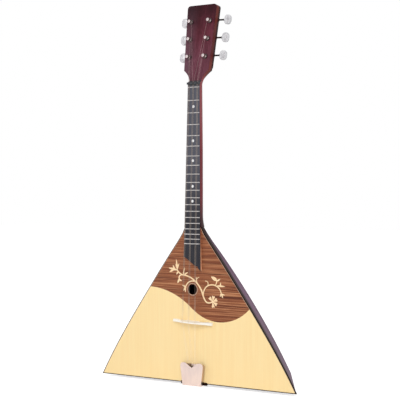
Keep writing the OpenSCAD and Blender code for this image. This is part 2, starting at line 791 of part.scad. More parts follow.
// Thread of the worm, right-handed about X, with a gap facing the wheel's tooth
thread_half_l = 4.2;
thread_step = 30;
thread_tip_r = worm_r + 0.85 * gear_module;
thread_root_r = worm_r - 1.1 * gear_module;
module worm_thread() {
    turns = 2 * thread_half_l / worm_pitch;
    count = 2 * floor(turns * 180 / thread_step);
    rings = [for (j = [0 : count]) let (
            a = 90 + (j - count / 2) * thread_step,
            x = worm_pitch * (j - count / 2) * thread_step / 360
        )
        [for (q = [[-0.5, thread_root_r - 0.25], [-0.15, thread_tip_r], [0.15, thread_tip_r],
                   [0.5, thread_root_r - 0.25]])
            [x + q[0], q[1] * cos(a), q[1] * sin(a)]]];
    loft(rings);
}

module worm_shaft(k) {
    color(nickel) at_tuner(k) translate([0, worm_y, worm_z]) union() {
        translate([-ear_x - ear_t - 0.8, 0, 0]) rotate([0, 90, 0])
            cylinder(r = shaft_r, h = ear_x + ear_t + 0.8 + button_x + 4.5);
        worm_thread();
    }
}

// Pearl button: a flattened oval bead
module button(k) {
    bulge = 2.6;
    profile = [for (i = [0 : 12]) let (a = -90 + 15 * i)
        [button_l / 2 * pow(abs(cos(a)), 2 / bulge),
         button_w / 2 * sign(sin(a)) * pow(abs(sin(a)), 2 / bulge)]];
    color(pearl) at_tuner(k) translate([button_x + button_l / 2, worm_y, worm_z]) difference() {
        intersection() {
            rotate_extrude() polygon(concat([[0, -button_w / 2]], profile, [[0, button_w / 2]]));
            cube([40, 7.6, 40], center = true);
        }
        translate([-button_l / 2 - 1, 0, 0]) rotate([0, 90, 0]) cylinder(r = shaft_r + 0.02, h = 5.6);
    }
}

// ---- Strings, bridge and tailpiece ------------------------------------------------------

// X of string i, from 0 on the left to 5 on the right, where neighbouring courses lie gap apart
function string_x(i, gap) = (floor(i / 2) - 1) * gap + (i % 2 - 0.5) * pair_gap;

bridge_z = zero_fret_z - scale_l;
hook_z = 24;
hook_pitch = 3.2;
hook_r = 0.8;
// Tuner that each string winds on, so that the outer strings go to the lowest posts
string_tuner = [1, 2, 3, 6, 5, 4];

function on_bridge(x, z) = [x, -bridge_h - string_r - 0.01, bridge_z - x * tan(bridge_slant) + z];

function string_path(i) = [
    [(i - 2.5) * hook_pitch, -4.6, hook_z + hook_r + 0.05],
    on_bridge(string_x(i, course_gap_bridge), -1.5),
    on_bridge(string_x(i, course_gap_bridge), 1.5),
    neck_point([string_x(i, course_gap_nut), -fret_h - string_r - 0.01, 0]),
    neck_point([string_x(i, course_gap_nut), -nut_slot_y - string_r - 0.01, nut_z[1] + 0.1]),
    tuner_point(string_tuner[i], [-waist_r - string_r - 0.1, -post_out + 4.8, 0])
];

module strings() {
    color(string_metal) for (i = [0 : 5])
        loft([for (p = string_path(i))
            [for (a = [315 : -45 : 0]) p + string_r * [cos(a), sin(a), 0]]]);
}

// A strip w wide across the instrument, with its outline drawn in y and z
module cross_strip(w) {
    translate([-w / 2, 0, 0]) rotate([90, 0, 90]) linear_extrude(w) children();
}

// Bridge with two feet, thinner at its top than at its feet
bridge_foot_t = 6;
bridge_top_t = 2.6;
module bridge() {
    half = bridge_l / 2;
    side = [[17, bridge_h], [20, bridge_h - 2], [29, 8.5], [half, 5.5], [half, 0], [half - 12, 0],
            [half - 14, 2.6], [24, 4.6], [16, 3], [13, 0]];
    color(bridge_wood) translate([0, 0, bridge_z]) rotate([0, bridge_slant, 0]) intersection() {
        mirror([0, 1, 0]) translate([0, 0, -bridge_foot_t]) linear_extrude(2 * bridge_foot_t)
            polygon(concat(side, [for (k = [len(side) - 1 : -1 : 0]) [-side[k].x, side[k].y]]));
        cross_strip(bridge_l + 2) polygon([[0, -bridge_foot_t / 2], [0, bridge_foot_t / 2],
            [-bridge_h, bridge_top_t / 2], [-bridge_h, -bridge_top_t / 2]]);
    }
}

// Frame of the bottom board: Y runs back along its outer face, Z into the body
module on_bottom() {
    rotate([atan(board_slope), 0, 0]) children();
}

tail_screw_at = [[-13, 28], [13, 28], [0, 40]];
module tail_screw_holes(r) {
    on_bottom() for (p = tail_screw_at) translate([p.x, p.y, -3]) cylinder(r = r, h = 17, $fn = 24);
}

module end_saddle() {
    color(ebony) cross_strip(59) polygon([[-1.2, 3], [-0.02, 3], [-0.02, -0.02], [top_t, -0.02],
        [top_t, board_slope * top_t - 0.04], [14, board_slope * 14 - 0.04],
        [14, board_slope * 14 - 1.8], [-1.2, -2.6]]);
}

// Nickel strap that holds the strings: up the front, round the saddle and along the bottom board
tail_w = 38;
function flange(y) = board_slope * y - 0.06;
module tailpiece() {
    color(nickel) difference() {
        union() {
            cross_strip(tail_w) polygon([[-1.25, 36], [-1.25, -2.75], [14.05, flange(14) - 1.85],
                [17, flange(17)], [40, flange(40)], [40.6, flange(40) - 1.03], [17.7, flange(17) - 1],
                [14.8, flange(14) - 2.9], [-1.7, -4.5], [-2.45, -3.8], [-2.45, 36]]);
            for (i = [0 : 5]) translate([(i - 2.5) * hook_pitch, 0, hook_z]) {
                y_rod(hook_r, -6, -2);
                y_rod(1.25, -6.5, -5.8);
            }
        }
        tail_screw_holes(0.95);
    }
}

// Cover over the hooks, with a notch in its upper edge where the strings come out
cover_y = -8.4;
module tailpiece_cover() {
    half = [[14, 38.3], [21.5, 38.3], [24.6, 36], [25.6, 32], [20.8, -3.8]];
    color(nickel) difference() {
        sheet(cover_y, -2.45 - cover_y) polygon(concat([[0, 29.4]], half,
            [for (k = [len(half) - 1 : -1 : 0]) [-half[k].x, half[k].y]]));
        sheet(cover_y + 1, 10) polygon([[-19.8, -2.8], [-24.5, 31.8], [-24.5, 60],
                                        [24.5, 60], [24.5, 31.8], [19.8, -2.8]]);
    }
}

module tailpiece_screws() {
    color(nickel) on_bottom() for (p = tail_screw_at) translate([p.x, p.y, 0]) difference() {
        union() {
            translate([0, 0, -1.5]) cylinder(r = 0.93, h = 14, $fn = 24);
            translate([0, 0, -2.32]) cylinder(r1 = 1.6, r2 = 2.3, h = 1.05, $fn = 32);
        }
        translate([-3, -0.3, -3]) cube([6, 0.6, 1.1]);
    }
}

// ---- Nodes ----------------------------------------------------------------------------

soundboard();
guard_veneer();
vine_inlay();
sound_hole_ring();
binding_left();
binding_right();
binding_bottom();
stave(0);  // stave_1
stave(1);  // stave_2
stave(2);  // stave_3
stave(3);  // stave_4
stave(4);  // stave_5
stave(5);  // stave_6
stave(6);  // stave_7
bottom_board();
neck();
neck_block();
tail_block();
linings();
braces();
fingerboard();
fingerboard_riser();
frets();
position_dots();
nut();
headstock_veneer();
end_saddle();
bridge();
tailpiece();
tailpiece_cover();
tailpiece_screws();
tuner_plate_left();
tuner_plate_right();
tuner_plate_screws();
post_ferrules();
strings();
worm_shaft(1);  // worm_shaft_1
worm_shaft(2);  // worm_shaft_2
worm_shaft(3);  // worm_shaft_3
worm_shaft(4);  // worm_shaft_4
worm_shaft(5);  // worm_shaft_5
worm_shaft(6);  // worm_shaft_6
button(1);  // button_1
button(2);  // button_2
button(3);  // button_3
button(4);  // button_4
button(5);  // button_5
button(6);  // button_6
tuner_post(1);  // tuner_post_1
tuner_post(2);  // tuner_post_2
tuner_post(3);  // tuner_post_3
tuner_post(4);  // tuner_post_4
tuner_post(5);  // tuner_post_5
tuner_post(6);  // tuner_post_6
worm_wheel(1);  // worm_wheel_1
worm_wheel(2);  // worm_wheel_2
worm_wheel(3);  // worm_wheel_3
worm_wheel(4);  // worm_wheel_4
worm_wheel(5);  // worm_wheel_5
worm_wheel(6);  // worm_wheel_6
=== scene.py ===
"""Looks of a six-string prima balalaika: lacquered woods, nickel hardware and pearl buttons.

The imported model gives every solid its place. This script gives each one its finish, rounds the
edges that a maker would round, and adds the small pieces that the solids leave out.
"""
import json
import math

import bmesh
import bpy
from mathutils import Matrix, Vector


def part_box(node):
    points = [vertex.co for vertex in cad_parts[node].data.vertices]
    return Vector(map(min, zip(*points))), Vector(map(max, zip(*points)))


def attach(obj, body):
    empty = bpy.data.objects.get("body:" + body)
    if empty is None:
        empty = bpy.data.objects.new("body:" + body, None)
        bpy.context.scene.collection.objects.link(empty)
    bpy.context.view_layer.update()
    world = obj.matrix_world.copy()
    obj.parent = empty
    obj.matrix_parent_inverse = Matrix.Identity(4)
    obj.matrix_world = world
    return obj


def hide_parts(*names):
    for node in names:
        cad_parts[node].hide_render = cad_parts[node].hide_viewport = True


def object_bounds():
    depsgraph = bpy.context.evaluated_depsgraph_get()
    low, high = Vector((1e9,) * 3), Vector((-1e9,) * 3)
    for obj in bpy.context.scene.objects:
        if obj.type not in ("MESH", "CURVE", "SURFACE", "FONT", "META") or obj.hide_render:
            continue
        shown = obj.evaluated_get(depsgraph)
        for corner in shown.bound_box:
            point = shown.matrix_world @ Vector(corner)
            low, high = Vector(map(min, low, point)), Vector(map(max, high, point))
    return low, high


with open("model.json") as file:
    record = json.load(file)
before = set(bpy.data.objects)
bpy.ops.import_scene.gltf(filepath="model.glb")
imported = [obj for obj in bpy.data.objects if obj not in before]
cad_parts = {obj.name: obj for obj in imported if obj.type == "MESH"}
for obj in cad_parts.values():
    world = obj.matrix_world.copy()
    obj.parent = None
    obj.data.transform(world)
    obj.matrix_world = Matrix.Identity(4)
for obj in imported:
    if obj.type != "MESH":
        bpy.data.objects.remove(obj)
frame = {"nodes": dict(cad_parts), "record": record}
cad_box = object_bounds()
nodes = frame["nodes"]
record = frame["record"]
body_of = {node: body for body, names in record["behaviour"]["bodies"].items() for node in names}
joint_of = {joint["child"]: joint for joint in record["behaviour"]["joints"]}
mount_at = {mount["name"]: Vector(mount["pos_m"]) for mount in record["mounts"]}

MM = 0.001
STAVES = [f"stave_{n}" for n in range(1, 8)]
TUNERS = range(1, 7)
UP = (0.0, 0.0, 1.0)
BACKWARDS = (0.0, 1.0, 0.0)
LEFT = (-1.0, 0.0, 0.0)
ORIGIN = (0.0, 0.0, 0.0)
NO_TURN = (0.0, 0.0, 0.0)


# ---- Camera ------------------------------------------------------------------------------
# A long lens in front of the instrument and to its right, level with its middle. Angles in degrees.
CAMERA_YAW = 35.0
CAMERA_PITCH = -0.981
CAMERA_ROLL = -0.4166
CAMERA_DISTANCE = 2.2364
CAMERA_TARGET = Vector((0.01624, 0.0, 0.33974))
CAMERA_LENS = 109.25
CAMERA_SENSOR = 36.0


def add_camera():
    """The camera, turned about its target by yaw and pitch, and about its own line of sight by roll."""
    yaw, pitch, roll = (math.radians(angle) for angle in (CAMERA_YAW, CAMERA_PITCH, CAMERA_ROLL))
    forward = Vector((-math.sin(yaw) * math.cos(pitch), math.cos(yaw) * math.cos(pitch), math.sin(pitch)))
    level = Vector((math.cos(yaw), math.sin(yaw), 0.0))
    upright = level.cross(forward)
    right = level * math.cos(roll) + upright * math.sin(roll)
    up = upright * math.cos(roll) - level * math.sin(roll)
    place = Matrix((right, up, -forward)).transposed().to_4x4()
    place.translation = CAMERA_TARGET - forward * CAMERA_DISTANCE
    data = bpy.data.cameras.new("camera")
    data.sensor_width = CAMERA_SENSOR
    data.lens = CAMERA_LENS
    camera = bpy.data.objects.new("camera", data)
    bpy.context.collection.objects.link(camera)
    camera.matrix_world = place
    bpy.context.scene.camera = camera


# ---- Nodes -------------------------------------------------------------------------------
def linear(hex_colour):
    """An sRGB hex colour as the linear values that the shaders take."""
    parts = [int(hex_colour[i:i + 2], 16) / 255 for i in (1, 3, 5)]
    return tuple(c / 12.92 if c <= 0.04045 else ((c + 0.055) / 1.055) ** 2.4 for c in parts) + (1.0,)


def add(tree, kind, inputs=None, stops=(), **settings):
    """Adds a node with its settings, sets or links its inputs, and gives a ramp its (place, colour) stops."""
    node = tree.nodes.new(kind)
    for key, value in settings.items():
        setattr(node, key, value)
    for key, value in (inputs or {}).items():
        if isinstance(value, bpy.types.NodeSocket):
            tree.links.new(value, node.inputs[key])
        else:
            node.inputs[key].default_value = value
    if stops:
        elements = node.color_ramp.elements
        while len(elements) < len(stops):
            elements.new(0.5)
        for element, (place, hex_colour) in zip(elements, stops):
            element.position = place
            element.color = linear(hex_colour)
    return node


def new_material(name, **values):
    """A material with one Principled shader, whose own sockets hold the given constants."""
    material = bpy.data.materials.new(name)
    material.use_nodes = True
    tree = material.node_tree
    tree.nodes.clear()
    constants = {key.replace("_", " "): value for key, value in values.items()}
    shader = add(tree, "ShaderNodeBsdfPrincipled", constants)
    add(tree, "ShaderNodeOutputMaterial", {"Surface": shader.outputs["BSDF"]})
    return material, tree, shader


def figure(tree, across_mm, along_mm, turn=NO_TURN, detail=3.0, roughness=0.5, distortion=0.0):
    """Soft streaks or clouds of a real size, across_mm wide and along_mm long.

    They run along Z; turn, in degrees, leans them to follow a piece.
    """
    place = add(tree, "ShaderNodeTexCoord").outputs["Object"]
    angles = [math.radians(angle) for angle in turn]
    leaned = add(tree, "ShaderNodeMapping", {"Vector": place, "Rotation": angles}).outputs[0]
    across, along = 1 / (across_mm * MM), 1 / (along_mm * MM)
    sized = add(tree, "ShaderNodeMapping", {"Vector": leaned, "Scale": (across, across, along)}).outputs[0]
    return add(tree, "ShaderNodeTexNoise", {
        "Vector": sized, "Scale": 1.0, "Detail": detail, "Roughness": roughness, "Distortion": distortion,
    }).outputs["Fac"]


def finish(tree, shader, colour, relief, relief_strength, relief_mm):
    """Gives a shader its colour and its fine relief."""
    tree.links.new(colour, shader.inputs["Base Color"])
    bump = add(tree, "ShaderNodeBump", {
        "Height": relief, "Strength": relief_strength, "Distance": relief_mm * MM,
    })
    tree.links.new(bump.outputs[0], shader.inputs["Normal"])


# ---- Where stains and painted shade begin and end ----------------------------------------
# Tones that change along the instrument are painted in as coats. Those that are painted shade, sheen,
# highlight and reflection are said so where they are laid on; what the others stand for isn't known
def reach(tree, foot, way, span_mm, full=1.0):
    """A factor that grows from 0 to full over a span of distances from a point, along a direction."""
    place = add(tree, "ShaderNodeTexCoord").outputs["Object"]
    gap = add(tree, "ShaderNodeVectorMath", {0: place, 1: foot}, operation="SUBTRACT").outputs[0]
    distance = add(tree, "ShaderNodeVectorMath", {0: gap, 1: way}, operation="DOT_PRODUCT").outputs["Value"]
    start, end = span_mm
    return add(tree, "ShaderNodeMapRange", {
        "Value": distance, "From Min": start * MM, "From Max": end * MM, "To Max": full,
    }).outputs[0]


def height(tree, span_mm, full=1.0):
    """A factor that grows from 0 to full over a span of the instrument's heights."""
    return reach(tree, ORIGIN, UP, span_mm, full)


def both(tree, factor_a, factor_b):
    """A factor that is full only where both of the given ones are."""
    return add(tree, "ShaderNodeMath", {0: factor_a, 1: factor_b}, operation="MULTIPLY").outputs[0]


def coated(tree, colour, coats):
    """Lays coats of stain and of painted shade over a colour, in turn. Each is a blend mode, a factor and a
    hex colour.
    """
    for mode, factor, coat in coats:
        colour = add(tree, "ShaderNodeMix", {0: factor, 6: colour, 7: linear(coat)},
                     data_type="RGBA", blend_type=mode).outputs[2]
    return colour


# ---- Woods -------------------------------------------------------------------------------
LACQUER_IOR = 1.5
# Real lacquer has a specular level of 0.5. Lacquered woods are given less, the dark ones least,
# because surroundings that are white all round would wash their colours out
HOLE_R = 9.5 * MM
# The painted black shade on the hole's wall ends between these distances outside the sound hole's wall
HOLE_SHADE_SPAN = (0.04 * MM, 0.3 * MM)
ACROSS_THE_BOARD = (0.0, 90.0, 0.0)
# A band of shade is this many times as long as it is wide
BAND_STRETCH = 14
# A pore's width and length, as shares of a ring's
PORE_WIDTH = 0.35
PORE_LENGTH = 0.25
# A face of the riser is one of its sides where its normal lies this near to X
SIDEWAYS = 0.95


def wood(name, tones, ring_mm, ring_length_mm, shade, shade_mm, shade_amount, shade_span=(0.3, 0.7),
         turn=NO_TURN, warp=0.3, bump=0.15, bump_mm=0.05, stain=None, **shader_values):
    """Sawn wood: rings or streaks along the grain, broader bands of a shade, and pores in the relief.

    stain is a function that gives, for a node tree, the coats that darken or tint the wood in places: stain,
    and in some woods painted shade, sheen, highlight and reflection.
    """
    material, tree, shader = new_material(name, **shader_values)
    rings = figure(tree, ring_mm, ring_length_mm, turn, 4.0, 0.55, warp)
    grain = add(tree, "ShaderNodeValToRGB", {"Fac": rings}, tones).outputs["Color"]
    bands = figure(tree, shade_mm, shade_mm * BAND_STRETCH, turn, 2.0, 0.5, 0.4)
    shaded = list(zip(shade_span, (shade, "#ffffff")))
    tone = add(tree, "ShaderNodeValToRGB", {"Fac": bands}, shaded).outputs["Color"]
    colour = add(tree, "ShaderNodeMix", {0: shade_amount, 6: grain, 7: tone},
                 data_type="RGBA", blend_type="MULTIPLY").outputs[2]
    if stain:
        colour = coated(tree, colour, stain(tree))
    pores = figure(tree, ring_mm * PORE_WIDTH, ring_length_mm * PORE_LENGTH, turn, 2.0, 0.6)
    finish(tree, shader, colour, pores, bump, bump_mm)
    return material


def painted_hole_shade(tree):
    """Painted shade: the sound hole's wall drawn nearly black, as the shade inside the hole."""
    low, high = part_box("sound_hole_ring")
    middle = (low + high) / 2
    place = add(tree, "ShaderNodeTexCoord").outputs["Object"]
    flat = add(tree, "ShaderNodeMapping", {
        "Vector": place, "Location": (-middle.x, 0.0, -middle.z), "Scale": (1.0, 0.0, 1.0),
    }).outputs[0]
    distance = add(tree, "ShaderNodeVectorMath", {0: flat}, operation="LENGTH").outputs["Value"]
    near, far = HOLE_SHADE_SPAN
    wall = add(tree, "ShaderNodeMapRange", {
        "Value": distance, "From Min": HOLE_R + far, "From Max": HOLE_R + near,
    }).outputs[0]
    return [("MIX", wall, "#120a08")]


def spruce():
    """Quarter-sawn spruce under satin lacquer: honey-pale, with close straight annual rings."""
    return wood(
        "spruce_lacquered", [(0.30, "#fde0a6"), (0.55, "#ffe4ab"), (0.78, "#ffe8b2")],
        ring_mm=1.4, ring_length_mm=300, shade="#fdf9f3", shade_mm=8.0, shade_amount=0.6,
        shade_span=(0.35, 0.65), warp=0.1, bump=0.05, stain=painted_hole_shade,
        Roughness=0.45, IOR=LACQUER_IOR, Specular_IOR_Level=0.4)


def rosewood():
    """Straight-grained rosewood veneer, its grain laid across, lacquered: brown, streaked dark and tan."""
    return wood(
        "rosewood_veneer", [(0.36, "#431c10"), (0.45, "#874b30"), (0.54, "#ae6e49"), (0.65, "#daa377")],
        ring_mm=0.8, ring_length_mm=160, shade="#bda294", shade_mm=4.0, shade_amount=0.75,
        turn=ACROSS_THE_BOARD, bump=0.2, stain=painted_hole_shade,
        Roughness=0.42, IOR=LACQUER_IOR, Specular_IOR_Level=0.2)


def inlay_maple():
    """Maple veneer, sawn into the guard and lacquered with it: cream with a faint straight grain."""
    return wood(
        "maple_inlay", [(0.3, "#ffd7a6"), (0.6, "#ffe6bd")],
        ring_mm=1.2, ring_length_mm=30, shade="#f6ecdf", shade_mm=5.0, shade_amount=0.6,
        turn=ACROSS_THE_BOARD, bump=0.08,
        Roughness=0.45, IOR=LACQUER_IOR, Specular_IOR_Level=0.35)


def line_birch():
    """Birch veneer stood on edge, for the fine lines round the hole and along the binding: grey-beige."""
    return wood(
        "birch_line", [(0.3, "#b9a290"), (0.6, "#cdb8a5")],
        ring_mm=0.8, ring_length_mm=20, shade="#e8dfd6", shade_mm=4.0, shade_amount=0.6, bump=0.08,
        Roughness=0.45, IOR=LACQUER_IOR, Specular_IOR_Level=0.3)


def black_wood():
    """Ebony strip and saddle, oiled: nearly black, with a trace of brown grain."""
    return wood(
        "ebony", [(0.35, "#1d0b07"), (0.65, "#28120c"), (0.85, "#341c14")],
        ring_mm=0.9, ring_length_mm=40, shade="#c8c2c0", shade_mm=6.0, shade_amount=0.5, bump=0.1,
        Roughness=0.45, IOR=LACQUER_IOR, Specular_IOR_Level=0.04)


def fingerboard_wood():
    """Ebonised hornbeam: charcoal with fine lengthwise pores, greyer up the neck."""
    def greyed(tree):
        """Grey from the middle of the neck up, and dark again at the nut."""
        return [("MIX", height(tree, (300, 420), 0.65), "#60616c"),
                ("MIX", height(tree, (549.5, 552), 0.6), "#2b2e2c")]
    return wood(
        "fingerboard_ebonised", [(0.3, "#1b1b22"), (0.55, "#2a2a32"), (0.8, "#3b3b44")],
        ring_mm=0.8, ring_length_mm=45, shade="#a8a8b4", shade_mm=5.0, shade_amount=0.7,
        bump=0.25, stain=greyed, Roughness=0.5, IOR=LACQUER_IOR, Specular_IOR_Level=0.24)


def stave_wood(name, lean):
    """Stained maple under lacquer: dusky plum, with a grain that leans as its stave does."""
    def greyed_near_neck(tree):
        """Greyer and darker near the neck, and black beside the soundboard."""
        return [("MIX", height(tree, (228, 285), 0.88), "#51444f"),
                ("MIX", reach(tree, ORIGIN, BACKWARDS, (12.0, 11.0)), "#260f0b")]
    return wood(
        f"maple_stained_{name}", [(0.3, "#6e5066"), (0.55, "#806179"), (0.78, "#92738a")],
        ring_mm=2.2, ring_length_mm=90, shade="#bfaeb8", shade_mm=16.0, shade_amount=0.6,
        turn=(0.0, lean, 0.0), warp=0.4, bump=0.06, stain=greyed_near_neck,
        Roughness=0.4, IOR=LACQUER_IOR, Specular_IOR_Level=0.05)


def neck_wood():
    """Mahogany stained red and lacquered: long dark pores over crimson, with painted shade, sheen and
    highlights along it, darkest at its ends and edges.
    """
    def painted_light_on_neck(tree):
        """Painted light over the crimson: shade and a pale sheen down the neck, shade nearly black on the
        heel, a nearly black reflection on the headstock's back, and brown highlights on its sides.
        """
        post = joint_of["post_1"]
        back_of_head = reach(tree, post["pos_m"], post["axis"], (7.0, 10.5), 0.9)
        # Each coat below is painted light: shade and sheen down the neck, shade on the heel, highlights on
        # the headstock's sides and a dark reflection on its back
        return [("MIX", height(tree, (480, 400), 0.75), "#6e1a22"),
                ("MIX", height(tree, (430, 500), 0.4), "#a4666a"),
                ("MIX", height(tree, (345, 300), 0.88), "#220b11"),
                ("MIX", height(tree, (562, 575), 0.85), "#6d2b20"),
                ("MIX", height(tree, (590, 612), 0.8), "#571f1e"),
                ("MIX", height(tree, (650, 680), 0.8), "#6d2b20"),
                ("MIX", both(tree, back_of_head, height(tree, (560, 568))), "#1c080b")]
    return wood(
        "mahogany_stained", [(0.3, "#80242b"), (0.55, "#9b323b"), (0.8, "#b04248")],
        ring_mm=1.6, ring_length_mm=55, shade="#c0a5a2", shade_mm=9.0, shade_amount=0.6, stain=painted_light_on_neck,
        Roughness=0.38, IOR=LACQUER_IOR, Specular_IOR_Level=0.12)


def head_veneer():
    """Stained veneer on the headstock's face: burgundy with a straight grain."""
    def darkened(tree):
        """Darker towards the top, where painted shade is laid on, and greyer towards the left."""
        return [("MULTIPLY", height(tree, (600, 650)), "#e9bfc8"),
                ("MIX", reach(tree, ORIGIN, LEFT, (4.0, 20.0), 0.45), "#54464f"),
                ("MULTIPLY", height(tree, (650, 695)), "#a08c92")]
    return wood(
        "burgundy_veneer", [(0.3, "#633541"), (0.55, "#744250"), (0.8, "#85515e")],
        ring_mm=1.4, ring_length_mm=60, shade="#a88c92", shade_mm=11.0, shade_amount=0.7,
        bump=0.1, stain=darkened, Roughness=0.45, IOR=LACQUER_IOR, Specular_IOR_Level=0.1)


def riser_beech():
    """Beech under the fingerboard, lacquered: pinkish tan."""
    def blacked(tree):
        """Reddened higher up, and blacked on every face but its two sides."""
        normal = add(tree, "ShaderNodeTexCoord").outputs["Normal"]
        sideways = add(tree, "ShaderNodeSeparateXYZ", {0: normal}).outputs["X"]
        sideways = add(tree, "ShaderNodeMath", {0: sideways}, operation="ABSOLUTE").outputs[0]
        other = add(tree, "ShaderNodeMath", {0: sideways, 1: SIDEWAYS}, operation="LESS_THAN").outputs[0]
        return [("MIX", height(tree, (240, 285)), "#a4604c"),
                ("MIX", other, "#17120f")]
    return wood(
        "beech_lacquered", [(0.3, "#e2a482"), (0.6, "#f6c3a0"), (0.8, "#fbcfae")],
        ring_mm=0.9, ring_length_mm=12, shade="#ecdacd", shade_mm=6.0, shade_amount=0.6,
        bump=0.12, stain=blacked, Roughness=0.42, IOR=LACQUER_IOR, Specular_IOR_Level=0.3)


def bridge_maple():
    """Unstained maple, sanded and oiled: cream with fine flecks, its grain along the bridge."""
    return wood(
        "maple_plain", [(0.3, "#fff8ea"), (0.6, "#fffefa")],
        ring_mm=0.9, ring_length_mm=14, shade="#fbf6ec", shade_mm=4.0, shade_amount=0.6,
        turn=ACROSS_THE_BOARD, Roughness=0.5, IOR=1.5)


def block_wood():
    """Bare sawn spruce for the blocks and linings: matt, pale tan."""
    return wood(
        "spruce_bare", [(0.3, "#c9a675"), (0.6, "#dcbd8c")],
        ring_mm=1.8, ring_length_mm=120, shade="#e4d6be", shade_mm=8.0, shade_amount=0.6,
        bump=0.25, Roughness=0.7, IOR=1.45)


# ---- Metals ------------------------------------------------------------------------------
# Real rub marks are a few hundredths of a millimetre wide; these are coarser, so that they show
RUB_WIDTH_MM = 0.25
RUB_LENGTH_MM = 6.0
RUB_TURN = (0.0, 20.0, 0.0)
RUB_DEPTH_MM = 0.02


def worn_metal(name, clean, dull, cloud_mm, roughness, scratch=0.05):
    """Plated or solid metal, polished by buffing: faint clouds of tone and fine rub marks."""
    material, tree, shader = new_material(name, Metallic=1.0, Roughness=roughness)
    clouds = figure(tree, cloud_mm, cloud_mm * 2, roughness=0.6)
    colour = add(tree, "ShaderNodeValToRGB", {"Fac": clouds}, [(0.35, dull), (0.65, clean)]).outputs["Color"]
    rubs = figure(tree, RUB_WIDTH_MM, RUB_LENGTH_MM, RUB_TURN, 2.0, 0.6)
    finish(tree, shader, colour, rubs, scratch, RUB_DEPTH_MM)
    return material


def nickel():
    """Nickel plate on pressed steel: mid grey with a warm cast, and faintly cloudy."""
    return worn_metal("nickel_plate", "#b5aea8", "#958e88", cloud_mm=7.0, roughness=0.26)


def post_nickel():
    """Nickel plate on the turned posts: pinkish grey."""
    return worn_metal("nickel_post", "#e0d2d2", "#c6b9b9", cloud_mm=3.0, roughness=0.25)


def cover_nickel():
    """Nickel plate on the tailpiece and its cover, its rub marks fainter: a warm white, barely cloudy."""
    return worn_metal("nickel_plate_cover", "#d5c2b9", "#c9b7b2", cloud_mm=12.0, roughness=0.3, scratch=0.02)


def fret_wire():
    """Drawn nickel-silver fret wire, filed and polished: a quiet grey shine."""
    return worn_metal("nickel_silver_wire", "#cbc7c6", "#b4b0b0", cloud_mm=4.0, roughness=0.34, scratch=0.06)


def dark_steel():
    """Steel of the worm shafts and the ferrules with a soft shine, drawn dark: painted shade for the shadow
    the shafts sit in, and a painted dark reflection on the ferrules.
    """
    return worn_metal("steel_painted_dark", "#5b5452", "#453f3e", cloud_mm=4.0, roughness=0.32, scratch=0.08)


def wound_wire():
    """The turns of string round the posts: drawn a dull bronze, darker than the strings, as painted shade on
    the posts below their tips.
    """
    return worn_metal("winding_wire_painted_dark", "#6d625b", "#524842", cloud_mm=2.0, roughness=0.38, scratch=0.15)


def wheel_brass():
    """Cut brass of the worm wheels: yellow, a little dull."""
    return worn_metal("brass_cut", "#c4a76c", "#9f8450", cloud_mm=3.0, roughness=0.32, scratch=0.1)


def string_steel():
    """Drawn steel string wire, brightest near the tailpiece.

    Real wire is much the same all along. Here it is drawn duller above the bridge and dark over the
    sound hole, so that wire as thin as this stays faint against what lies behind it.
    """
    def toned(tree):
        """Duller above the bridge, dark over the sound hole, and dim behind the nut."""
        over_hole = both(tree, height(tree, (158, 167)), height(tree, (190, 181), 0.8))
        return [("MIX", height(tree, (110, 160), 0.85), "#96887f"),
                ("MIX", over_hole, "#3d3633"),
                ("MIX", height(tree, (548, 562), 0.9), "#96787b")]
    material, tree, shader = new_material("string_wire", Metallic=1.0, Roughness=0.3)
    bands = figure(tree, 2.0, 0.6, detail=1.0)
    bright = add(tree, "ShaderNodeValToRGB", {"Fac": bands}, [(0.4, "#e6d3ba"), (0.6, "#f4e3cb")])
    finish(tree, shader, coated(tree, bright.outputs["Color"], toned(tree)), bands, 0.15, 0.03)
    return material


# ---- Pearl -------------------------------------------------------------------------------
def pearl():
    """Pressed pearl plastic: milky, with soft silver swirls under a polished skin."""
    material, tree, shader = new_material(
        "pearl_plastic", Roughness=0.22, IOR=1.5, Coat_Weight=0.6, Coat_Roughness=0.08)
    swirls = figure(tree, 4.0, 6.0, (20.0, 35.0, 0.0), roughness=0.55, distortion=1.4)
    colour = add(tree, "ShaderNodeValToRGB", {"Fac": swirls},
                 [(0.32, "#b9b8bd"), (0.5, "#d6d5d8"), (0.7, "#ebeaec")]).outputs["Color"]
    finish(tree, shader, colour, swirls, 0.05, 0.05)
    return material


def dot_pearl():
    """Mother-of-pearl dot, ground flush: white with a cool shimmer."""
    material, tree, shader = new_material("pearl_dot", Roughness=0.25, IOR=1.53, Coat_Weight=0.4)
    shimmer = figure(tree, 1.2, 1.8, roughness=0.6, distortion=0.8)
    colour = add(tree, "ShaderNodeValToRGB", {"Fac": shimmer},
                 [(0.35, "#dfe1e6"), (0.65, "#fbfbfa")]).outputs["Color"]
    finish(tree, shader, colour, shimmer, 0.05, 0.03)
    return material


# ---- Each solid's finish -----------------------------------------------------------------
SPRUCE = spruce()
ROSEWOOD = rosewood()
INLAY = inlay_maple()
LINE = line_birch()
BLACK = black_wood()
BOARD = fingerboard_wood()
NECK = neck_wood()
VENEER = head_veneer()
RISER = riser_beech()
BRIDGE = bridge_maple()
BLOCK = block_wood()
NICKEL = nickel()
COVER = cover_nickel()
POST = post_nickel()
FRET = fret_wire()
DARK = dark_steel()
WOUND = wound_wire()
STRING = string_steel()
BRASS = wheel_brass()
PEARL = pearl()
DOT = dot_pearl()

